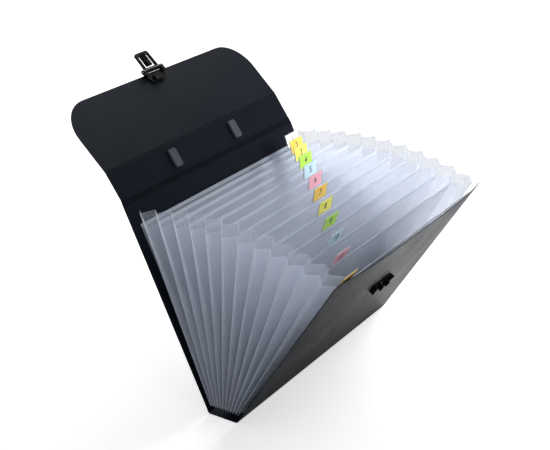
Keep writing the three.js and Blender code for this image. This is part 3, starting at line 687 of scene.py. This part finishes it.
def crease_lines(lower, reach, upper, span, groove):
    """Both faces of a crease between two panels: curves about the fold, and a groove on the inner one that
    falls off with the square of the distance from the fold, as a bell does."""
    faces = []
    for out in BACK_FACES:
        start = on_panel(lower, 0, out, reach - span)[1:]
        end = on_panel(upper, 0, out, span)[1:]
        middle = (on_panel(lower, 0, out, reach)[1:] + on_panel(upper, 0, out, 0)[1:]) / 2
        faces.append(curved(start, middle, end, CREASE_STEPS))
    inner, outer = faces
    dip = np.exp(-((np.linspace(-1, 1, CREASE_STEPS) / GROOVE_SHARE) ** 2))[:, None]
    return inner + (outer - inner) * groove * dip, outer


def bend_lines(side, turn, flat_half, panel):
    """Both faces of the spine's bend: arcs about the bend's centre, then straight up the cover."""
    angle = np.linspace(0, turn, BEND_STEPS)
    faces = []
    for radius, out in zip((SPINE_BEND - COVER_THICKNESS, SPINE_BEND), BACK_FACES):
        arc = np.stack([side * (flat_half + radius * np.sin(angle)), SPINE_BEND - radius * np.cos(angle)], -1)
        rise = on_panel(panel, 0, side * out, np.linspace(RISE_START, CREASE_REACH, RISE_STEPS))[:, 1:]
        faces.append(np.concatenate([arc, rise]))
    return faces


front_bend = bend_lines(-1, front_turn, front_flat, front_panel)
back_bend = bend_lines(1, back_turn, back_flat, back_panel)
first_crease = crease_lines(back_panel, BACK_HEIGHT, strip_panel, SOFT_CREASE, groove=0.25)
second_crease = crease_lines(strip_panel, STRIP_DEPTH, flap_panel, THIN_CREASE, groove=0.5)
print("points in a bend's section:", len(front_bend[0]), "and in a crease's:", len(first_crease[0]))

# %% [markdown]
# The sections are carried along the width to make strips.


# %% Creases and spine
def section_strip(name, inner, outer, half_start, half_end, columns=60):
    """A strip whose section lies between two lines of y and z, carried along the width. The flat coordinates
    are the place along the width and the length along the outer line."""
    half = np.linspace(half_start, half_end, len(inner))[:, None]
    x = half * np.linspace(-1, 1, columns)[None, :]
    length = np.concatenate([[0], np.cumsum(np.linalg.norm(np.diff(outer, axis=0), axis=1))])
    flat = np.stack([x, np.broadcast_to(length[:, None], x.shape)], -1).reshape(-1, 2)
    faces = []
    for line in (inner, outer):
        y, z = np.broadcast_arrays(line[:, :1], line[:, 1:], x)[:2]
        faces.append(np.stack([x, y, z], -1))
    return closed_sheet(name, *faces, flat, sharp=50)


def add_crease(name, lines, halves, material, panel, side):
    """A crease strip on no body, from its first line of points to its last."""
    inner, outer = lines
    piece = add_piece(section_strip(name, inner, outer, *halves), material, None)
    print(name, "outer faces:", finish_outer_face(piece.data, panel, side))
    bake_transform(piece)


wide, tapered, narrow = (COVER_HALF, COVER_HALF), (COVER_HALF, FLAP_HALF), (FLAP_HALF, FLAP_HALF)
add_crease("front_bend", front_bend, wide, cover_inside, front_panel, -1)
add_crease("back_bend", back_bend, wide, cover_inside, back_panel, 1)
# Both creases take the finish whose darker colour is painted shade in the fold.
add_crease("strip_crease", first_crease, tapered, crease_painted_shade, strip_panel, 1)
add_crease("flap_crease", second_crease, narrow, crease_painted_shade, flap_panel, 1)

FACE_DOWN = (0, 0, 90)
spine_inner = np.array([[-front_flat, COVER_THICKNESS], [0, COVER_THICKNESS], [back_flat, COVER_THICKNESS]])
spine_mesh = section_strip("spine_panel", spine_inner, spine_inner * [1, 0], *wide)
add_piece(spine_mesh, cover_inside, "base", ["spine"])
print("spine's outer faces:", finish_outer_face(spine_mesh, FACE_DOWN, 1))

# %% [markdown]
# A divider is a sheet of film with a tongue that carries its index tab, and a hem along its top edge where
# the film is folded over and welded. The tongue could be cut out of a larger sheet, but the top row of the
# grid is a function of the place along the spine, so it simply steps up there. Film is limp, so each sheet
# has a slight wave of its own.

# %% Shape of a film sheet
FILM_ROWS, FILM_COLUMNS = 22, 49
SIDE_FADE, FOOT_FADE = 40, 80
HEM_START, HEM_END = 0.4, 0.3
TONGUE_STEP, TONGUE_RIM, TONGUE_SLACK = 0.05, 0.02, 0.01
WAVES_ACROSS, WAVES_MORE, WAVES_SHIFT = 2.2, 0.4, 1.3
WAVES_UP, WAVES_START = 2.5, 0.5


def tab_x(k):
    """The tabs step across the width, from the right at the back to the left at the front."""
    return TAB_FIRST - TAB_PITCH * (k - 1)


def film_wave(x, up, half, foot, top, k):
    """The wave of sheet k: a sine across times a sine up, faded out towards the sides and the foot."""
    free = np.clip((half - np.abs(x)) / SIDE_FADE, 0, 1) * np.clip((up - foot) / FOOT_FADE, 0, 1)
    across = np.sin(x / half * (WAVES_ACROSS + WAVES_MORE * (k % 3)) + WAVES_SHIFT * k)
    return free * across * np.sin(up / top * WAVES_UP + WAVES_START)


def film_sheet(name, panel, k, half, foot, out, hem_side, wave):
    """A film sheet: faces half a film to each side of a waving middle, thicker along its hem. The last row
    steps up from the hem to the tongue's top between the tongue's two sides."""
    top = divider_top(k)
    tongue_half = TAB_WIDTH / 2 - SLEEVE_WALL - SLEEVE_GAP
    tongue_top = top + TAB_LIFT + TAB_HEIGHT - SLEEVE_WALL - SLEEVE_GAP
    edges = [-half, half]
    if k > 0:
        edges += [tab_x(k) + side * (tongue_half + extra) for side in (-1, 1) for extra in (0, TONGUE_STEP)]
    x = np.unique(np.concatenate([np.linspace(-half, half, FILM_COLUMNS), edges]))
    on_tongue = np.abs(x - tab_x(k)) <= tongue_half + TONGUE_SLACK if k > 0 else np.zeros(len(x), bool)
    body_rows = foot + np.linspace(0, 1, FILM_ROWS) * (top - HEM_HEIGHT - foot)
    hem_rows = np.array([top - HEM_HEIGHT + HEM_START, top - HEM_END, top])
    up = np.concatenate([
        np.broadcast_to(np.concatenate([body_rows, hem_rows])[:, None], (FILM_ROWS + 3, len(x))),
        np.where(on_tongue, tongue_top, top + TONGUE_RIM)[None, :],
    ])
    x = np.broadcast_to(x, up.shape)
    hem = np.zeros(up.shape)
    hem[FILM_ROWS:FILM_ROWS + 2] = 1.0
    extra = hem * (HEM_THICKNESS - FILM) / 2
    middle = out + FILM / 2 + wave * film_wave(x, up, half, foot, top, k)
    low = middle - FILM / 2 - extra * (1 - hem_side)
    high = middle + FILM / 2 + extra * (1 + hem_side)
    return closed_sheet(
        name, on_panel(panel, x, low, up), on_panel(panel, x, high, up), weld=hem.reshape(-1), sharp=35
    )


print("tabs stand at", [tab_x(k) for k in range(1, POCKETS + 1)])

# %% [markdown]
# Eleven dividers stand between the twelve pockets, and a lining sheet lies on the inside of each cover. The
# linings are the same film a little wider, flat, with their hems on the free side only. The film strip that
# closes the pockets at the bottom is hidden between them, so its CAD solid only takes the film's material.

# %% Dividers and linings
WAVE = 0.8
LINER_HALF = FOLD_IN + 5.0
for k in range(1, POCKETS):
    mesh = film_sheet(f"divider_film_{k}", sheet_panel(k), k, FOLD_IN - FIT_GAP, 0.0, -FILM / 2, 0.0, WAVE)
    add_piece(mesh, frosted_film, f"divider_{k}", [f"divider_{k}"])
front_out = -AXIS_LIFT + FIT_GAP
back_out = AXIS_LIFT - FIT_GAP - FILM
front_liner = film_sheet(
    "front_lining", front_panel, POCKETS, LINER_HALF, LINER_FOOT, front_out, hem_side=1.0, wave=0.0
)
back_liner = film_sheet(
    "back_lining", back_panel, 0, LINER_HALF, LINER_FOOT, back_out, hem_side=-1.0, wave=0.0
)
add_piece(front_liner, frosted_film, "front_cover", ["front_liner"])
add_piece(back_liner, frosted_film, "back_cover", ["back_liner"])
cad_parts["pocket_base"].data.materials.clear()
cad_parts["pocket_base"].data.materials.append(frosted_film)
print("film sheets:", POCKETS - 1, "dividers of", len(mesh.vertices), "points and 2 linings")

# %% [markdown]
# The gusset at each end is one film folded in and out between the dividers, and when the case closes its
# folds press flat. One mesh for the whole gusset would need a shape for every pose. Instead each divider
# carries its own share, from the outer fold before it to the outer fold after it, shaped for the open fan.


# %% Shape of a gusset's share
def fan_point(x, k, reach):
    """Points of the fan at sheet number k, which may lie between two sheets, and at a reach up them."""
    lean = np.radians(BACK_LEAN - (BACK_LEAN + FRONT_LEAN) * k / POCKETS)
    y = ROOT_SPAN / 2 - ROOT_SPAN * k / POCKETS + reach * np.sin(lean)
    return np.stack([x, y, ROOT_Z + reach * np.cos(lean)], -1)


def pitch_at(reach):
    """The distance between two sheets at a reach up them."""
    return ROOT_SPAN / POCKETS + reach * math.radians((BACK_LEAN + FRONT_LEAN) / POCKETS)


def rise_at(k):
    """How much higher than the middle sheet the fan's edge is at sheet number k."""
    return (2 * k / POCKETS - 1) ** 2 * EDGE_RISE


GUSSET_SEED = 12
EAR_TOP = DIVIDER_HEIGHT + EAR_RISE
WELD_TOP = DIVIDER_HEIGHT - 1.5
WELD_EDGE, WELD_SHARPNESS = 0.25, 4
WELD_STEP, EAR_STEP = 0.5, 2
PANEL_ROWS, EAR_ROWS, SHARE_COLUMNS, END_COLUMNS = 16, 4, 15, 8
LEAST_BULGE, MORE_BULGE = 0.5, 0.5
MIDDLE_FOLD = 0.03
SOFT_FOLD, FOLD_SHARE = 0.9, 0.08
FOLD_CLEARANCE = 0.2
panel_width = math.hypot(FOLD_OUT - FOLD_IN, pitch_at(DIVIDER_HEIGHT) / 2)
chance = np.random.default_rng(GUSSET_SEED)
print("a gusset panel is", round(panel_width, 2), "mm wide")

# %% [markdown]
# A film panel keeps its width while the fan opens, so the more the sheets spread, the less the fold stands
# out. That is a right triangle: the panel's width is its long side, and half the distance between two sheets
# is one of the short ones. The film also bulges a little, by an amount that chance gives each share.


# %% Gussets
def gusset_share(name, side, k):
    """One divider's share of a gusset: two film panels that meet at the divider's edge. The fold stands out
    by the root of the panel's width squared less half the pitch squared, less a soft bulge."""
    first, last = (0.0, 0.5) if k == 0 else (-0.5, 0.0) if k == POCKETS else (-0.5, 0.5)
    fold_lines = [-MIDDLE_FOLD, MIDDLE_FOLD]
    columns = SHARE_COLUMNS if first * last else END_COLUMNS
    steps = np.unique(np.concatenate([np.linspace(first, last, columns), fold_lines]))
    steps = steps[(steps >= first) & (steps <= last)]
    low_rows = np.linspace(GUSSET_FOOT, WELD_TOP, PANEL_ROWS)
    ear_rows = np.linspace(WELD_TOP + EAR_STEP, EAR_TOP, EAR_ROWS)
    rows = np.concatenate([low_rows, [WELD_TOP + WELD_STEP], ear_rows])
    reach, place = np.meshgrid(rows, steps, indexing="ij")
    depth = np.sqrt(panel_width**2 - (pitch_at(reach) / 2) ** 2)
    away = np.abs(place) * 2
    bulge = (LEAST_BULGE + MORE_BULGE * chance.random()) * np.sin(math.pi * away) * reach / EAR_TOP
    soften = SOFT_FOLD * np.clip(1 - np.abs(away - 1) / FOLD_SHARE, 0, 1)
    x = FOLD_IN + FOLD_CLEARANCE + depth * away - bulge - soften
    fan_k = np.clip(k + place, 0, POCKETS)
    lifted = reach + rise_at(fan_k) * (reach - GUSSET_FOOT) / (EAR_TOP - GUSSET_FOOT)
    middle = fan_point(side * x, fan_k, lifted)
    normal = np.cross(np.gradient(middle, axis=1), np.gradient(middle, axis=0))
    normal /= np.linalg.norm(normal, axis=-1, keepdims=True)
    weld = np.clip((WELD_TOP + WELD_EDGE - reach) * WELD_SHARPNESS, 0, 1).reshape(-1)
    return closed_sheet(name, middle - normal * FILM / 2, middle + normal * FILM / 2, weld=weld, sharp=60)


NAMED_SHARE = 6
for word, side in (("left", -1), ("right", 1)):
    for k in range(POCKETS + 1):
        mesh = gusset_share(f"gusset_{word}_{k}", side, k)
        stands_for = [f"gusset_{word}"] if k == NAMED_SHARE else []
        piece = add_piece(mesh, frosted_film, film_body(k), stands_for)
        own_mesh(piece)
    print("gusset", word, "has", POCKETS + 1, "shares, the last of", len(mesh.vertices), "points")

# %% [markdown]
# An index tab is a clear sleeve folded over the tongue. A box would hide the open lower edge through which
# the slip slides in, so the sleeve is a true fold: two thin walls joined by a half circle over the top.

# %% Sleeves of the index tabs
FOLD_STEPS, SLEEVE_COLUMNS = 9, 5


def tab_panel(k):
    """The panel that a tab stands on, and the film's near face there."""
    return (front_panel, front_out) if k == POCKETS else (sheet_panel(k), -FILM / 2)


def sleeve_mesh(k):
    """A folded sleeve: for its outer and its inner wall, a line up the near side, round a half circle and
    down the far side, carried across the tab's width."""
    panel, film_out = tab_panel(k)
    near = film_out - 2 * SLEEVE_GAP - LABEL_THICKNESS - SLEEVE_WALL
    far = film_out + FILM + SLEEVE_GAP + SLEEVE_WALL
    low = divider_top(k) + TAB_LIFT
    radius = (far - near) / 2
    angle = np.linspace(math.pi, 0, FOLD_STEPS)
    x = tab_x(k) + np.linspace(-TAB_WIDTH / 2, TAB_WIDTH / 2, SLEEVE_COLUMNS)
    walls = []
    for inset in (0.0, SLEEVE_WALL):
        r = radius - inset
        out = np.concatenate([[near + inset], (near + far) / 2 + r * np.cos(angle), [far - inset]])
        up = np.concatenate([[low], low + TAB_HEIGHT - radius + r * np.sin(angle), [low]])
        walls.append(on_panel(panel, x[None, :], out[:, None], up[:, None]))
    return closed_sheet(f"tab_sleeve_film_{k}", *walls, weld=np.zeros(walls[0].shape[:2]).reshape(-1))


print("a sleeve is", TAB_WIDTH, "by", TAB_HEIGHT, "mm")


# %% [markdown]
# Behind the sleeve's front wall lies a slip of coloured card, which curls by less than a tenth of a
# millimetre. Its number could be a picture, but a picture blurs from near. So the number is plain text made
# into thin solid figures that lie on the card.

# %% Slips and numbers
SLIP_CURL, SLIP_GAP = 0.08, 0.3
SLIP_COLUMNS, SLIP_ROWS = 9, 5
NUMBER_SIZE, NUMBER_THICKNESS, NUMBER_WEIGHT = 10.0, 0.02, 0.25
NUMBER_LIFT, NUMBER_UP = 0.11, 8


def slip_mesh(k):
    """A card slip: a flat box with a whisper of a curl, half a sine wave across its width."""
    panel, film_out = tab_panel(k)
    low = divider_top(k) + TAB_LIFT
    high = low + TAB_HEIGHT - SLEEVE_WALL - SLEEVE_GAP
    x = (tab_x(k) + np.linspace(-1, 1, SLIP_COLUMNS) * (TAB_WIDTH / 2 - LABEL_BORDER))[None, :]
    up = np.linspace(low, high - SLIP_GAP, SLIP_ROWS)[:, None]
    far = film_out - SLEEVE_GAP
    curl = SLIP_CURL * np.sin(np.linspace(0, math.pi, SLIP_COLUMNS))[None, :]
    near_face = on_panel(panel, x, far - LABEL_THICKNESS - curl, up)
    return closed_sheet(f"tab_slip_{k}", near_face, on_panel(panel, x, far - curl, up))


def number_mesh(k):
    """The tab's number: text made a mesh, centred, then laid on the slip's near face."""
    text = bpy.data.curves.new(f"number_text_{k}", "FONT")
    text.body = str(k)
    text.size = NUMBER_SIZE
    text.extrude = NUMBER_THICKNESS
    text.offset = NUMBER_WEIGHT
    text.align_x, text.align_y = "CENTER", "CENTER"
    holder = bpy.data.objects.new("number_holder", text)
    mesh = bpy.data.meshes.new_from_object(holder)
    mesh.name = f"tab_number_{k}"
    bpy.data.objects.remove(holder)
    bpy.data.curves.remove(text)
    figures = np.zeros(len(mesh.vertices) * 3, np.float32)
    mesh.vertices.foreach_get("co", figures)
    across, up, thick = figures.reshape(-1, 3).T
    panel, film_out = tab_panel(k)
    near = film_out - SLEEVE_GAP - LABEL_THICKNESS - NUMBER_LIFT
    points = on_panel(panel, tab_x(k) + across, near - thick, divider_top(k) + TAB_LIFT + NUMBER_UP + up)
    mesh.vertices.foreach_set("co", (points * MM).astype(np.float32).ravel())
    mesh.materials.clear()
    return mesh


print("a slip is", TAB_WIDTH - 2 * LABEL_BORDER, "mm wide")


# %% [markdown]
# The first slip is white and the others repeat five colours in turn. Sleeve, slip and number are separate
# pieces, as they are on the real tab, and all three ride on the film sheet that carries them.

# %% Index tabs
COLOUR_ORDER = ["label_amber", "label_yellow", "label_green", "label_blue", "label_pink"]
for k in range(1, POCKETS + 1):
    colour = "label_white" if k == 1 else COLOUR_ORDER[(k - 2) % len(COLOUR_ORDER)]
    add_piece(sleeve_mesh(k), clear_sleeve, film_body(k), [f"tab_sleeve_{k}"])
    add_piece(slip_mesh(k), slip_cards[colour], film_body(k), [f"tab_label_{k}"])
    add_piece(number_mesh(k), number_ink, film_body(k))
print("index tabs:", POCKETS)

# %% [markdown]
# The small mouldings already have their true shape in the CAD. What they lack is the small rounding that
# every moulded edge has, which catches the light. They could be modelled again, but a copy of each mesh is
# enough: its loose triangles are merged, flat areas lose their inner edges, and the edges are rounded.

# %% Mouldings
MERGE_DISTANCE = 1e-6
FLAT_ANGLE, SHARP_ANGLE, ROUNDED_ANGLE = 1, 25, 32


def finished_copy(name, node, material, body, width, segments=3):
    """A copy of a CAD node with merged points and rounded edges, standing for the node."""
    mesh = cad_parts[node].data.copy()
    mesh.name = name
    work = bmesh.new()
    work.from_mesh(mesh)
    bmesh.ops.remove_doubles(work, verts=work.verts, dist=MERGE_DISTANCE)
    bmesh.ops.dissolve_limit(work, angle_limit=math.radians(FLAT_ANGLE), verts=work.verts, edges=work.edges)
    work.to_mesh(mesh)
    work.free()
    mesh.materials.clear()
    mesh.polygons.foreach_set("use_smooth", np.ones(len(mesh.polygons), bool))
    mesh.set_sharp_from_angle(angle=math.radians(SHARP_ANGLE))
    print(name, "stands for", node)
    return round_edges(add_piece(mesh, material, body, [node]), width, segments, ROUNDED_ANGLE)


finished_copy("keeper_moulding", "keeper", black_moulding, "front_cover", width=0.35)
finished_copy("clasp_plate", "clasp_base", black_moulding, "flap", width=0.25)
finished_copy("clasp_backing", "clasp_backing_plate", black_moulding, "flap", width=0.2)
finished_copy("lever_moulding", "clasp_lever", black_moulding, "clasp_lever", width=0.22)
for word in ("left", "right"):
    cap, bracket = f"handle_cap_{word}", f"handle_bracket_{word}"
    finished_copy(f"cap_{word}", cap, grey_moulding, "top_strip", width=0.3)
    finished_copy(f"bracket_{word}", bracket, black_moulding, "top_strip", width=0.25)
finished_copy(
    "handle_moulding", "carrying_handle", black_moulding, "handle", width=0.9, segments=4
)
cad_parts["clasp_pin"].data.materials.clear()
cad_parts["clasp_pin"].data.materials.append(pin_steel)

# %% [markdown]
# The stage is a wide pale floor. A white floor lit to white would need lamps so strong that they wash out
# the case. So the floor is light grey and glows a little, but only where the camera sees it directly: then
# the shadow shows on it, and film in front of it does not vanish against its glow.

# %% Floor
FLOOR_HALF = 6000.0
FLOOR_GREY, FLOOR_GLOW = 0.65, 0.55


def stage_floor():
    """A wide pale floor that glows by the camera ray less the number of see-through surfaces before it, cut
    off at 0, so that it glows only where nothing but air lies between."""
    material, shader, nodes, link = new_material("stage_floor")
    shader.inputs["Base Color"].default_value = (FLOOR_GREY, FLOOR_GREY, FLOOR_GREY, 1)
    shader.inputs["Roughness"].default_value = 0.9
    shader.inputs["Emission Color"].default_value = (1, 1, 1, 1)
    rays = nodes.new("ShaderNodeLightPath")
    direct = nodes.new("ShaderNodeMath")
    direct.operation = "SUBTRACT"
    direct.use_clamp = True
    link(rays.outputs["Is Camera Ray"], direct.inputs[0])
    link(rays.outputs["Transparent Depth"], direct.inputs[1])
    link(map_mask(nodes, link, direct.outputs[0], 0.0, FLOOR_GLOW), shader.inputs["Emission Strength"])
    corners = np.array([[-1, -1, 0], [1, -1, 0], [1, 1, 0], [-1, 1, 0]]) * FLOOR_HALF
    floor = bpy.data.objects.new("floor", make_mesh("floor", corners, [[0, 1, 2, 3]]))
    floor.data.materials.append(material)
    bpy.context.scene.collection.objects.link(floor)
    return floor


print("floor:", stage_floor().name)

# %% [markdown]
# The world is the even light of a white studio. At full strength it would flatten the case, so it is white
# only for rays that come from the camera, straight or through clear matter, and dimmer as a light and in
# reflections, which keeps the dark sheet dark.

# %% World
AMBIENT, WHITE = 0.36, 1.0
world = bpy.data.worlds.new("studio")
bpy.context.scene.world = world
world.use_nodes = True
nodes, link = world.node_tree.nodes, world.node_tree.links.new
rays = nodes.new("ShaderNodeLightPath")
seen = nodes.new("ShaderNodeMath")
seen.operation = "MAXIMUM"
link(rays.outputs["Is Camera Ray"], seen.inputs[0])
link(rays.outputs["Is Transmission Ray"], seen.inputs[1])
nodes["Background"].inputs["Color"].default_value = (1, 1, 1, 1)
link(map_mask(nodes, link, seen.outputs[0], AMBIENT, WHITE), nodes["Background"].inputs["Strength"])
print("world:", AMBIENT, "as a light and", WHITE, "for the camera")

# %% [markdown]
# Three soft lamps shape the case: a key from behind on the right, which shines through the film, a weak fill
# from the front, and a small one near the front cover's right end. Point lamps would draw hard shadows of
# every divider, so all are square areas. The camera sees none of them, and the small one is too near to be
# mirrored in the plastic without a bright patch.


# %% Lamps
def add_lamp(name, place, aim, size, power, mirrored=True):
    """A square soft lamp at a place in metres, aimed at a point. The camera does not see it, and glossy
    faces mirror it only if asked."""
    lamp = bpy.data.lights.new(name, "AREA")
    lamp.size = size
    lamp.energy = power
    holder = bpy.data.objects.new(name, lamp)
    holder.location = place
    holder.visible_camera = False
    holder.visible_glossy = mirrored
    direction = np.array(aim) - np.array(place)
    holder.rotation_mode = "QUATERNION"
    holder.rotation_quaternion = Vector(direction).to_track_quat("-Z", "Y")
    bpy.context.scene.collection.objects.link(holder)
    print("lamp", name, "at", place, "of", power, "W")


add_lamp("key", (1.3, 0.8, 1.5), (0, 0, 0.15), size=1.2, power=36)
add_lamp("fill", (-0.4, -1.7, 1.2), (0, 0, 0.15), size=1.6, power=4)
add_lamp("side", (0.38, -0.2, 0.37), (0.12, -0.03, 0.17), size=0.2, power=3.0, mirrored=False)

# %% [markdown]
# The camera stands to the front left, a little above the case. It could be aimed at the case's middle, but
# the case stands off the middle of the picture, so the lens is shifted, which keeps the perspective.
# Its direction is given by two angles, and its focal length in pixels of the picture's width.

# %% Camera
AZIMUTH, ELEVATION = math.radians(-57.84), math.radians(25.37)
DISTANCE, AIM_HEIGHT = 1.4397, 0.12
FOCAL_PIXELS, WIDTH_PIXELS = 1247.7, 550
SHIFT_X_PIXELS, SHIFT_Y_PIXELS = -28.15, 39.46
SENSOR_WIDTH = 36.0
camera_data = bpy.data.cameras.new("camera")
camera = bpy.data.objects.new("camera", camera_data)
bpy.context.scene.collection.objects.link(camera)
bpy.context.scene.camera = camera
camera_back = np.array([
    math.sin(AZIMUTH) * math.cos(ELEVATION), -math.cos(AZIMUTH) * math.cos(ELEVATION), math.sin(ELEVATION)
])
camera.location = camera_back * DISTANCE + [0, 0, AIM_HEIGHT]
camera.rotation_mode = "QUATERNION"
camera.rotation_quaternion = Vector(-camera_back).to_track_quat("-Z", "Y")
camera_data.sensor_width = SENSOR_WIDTH
camera_data.lens = FOCAL_PIXELS / WIDTH_PIXELS * SENSOR_WIDTH
camera_data.shift_x, camera_data.shift_y = SHIFT_X_PIXELS / WIDTH_PIXELS, SHIFT_Y_PIXELS / WIDTH_PIXELS
bpy.context.scene.view_settings.view_transform = "Standard"
print("lens:", round(camera_data.lens, 1), "mm")
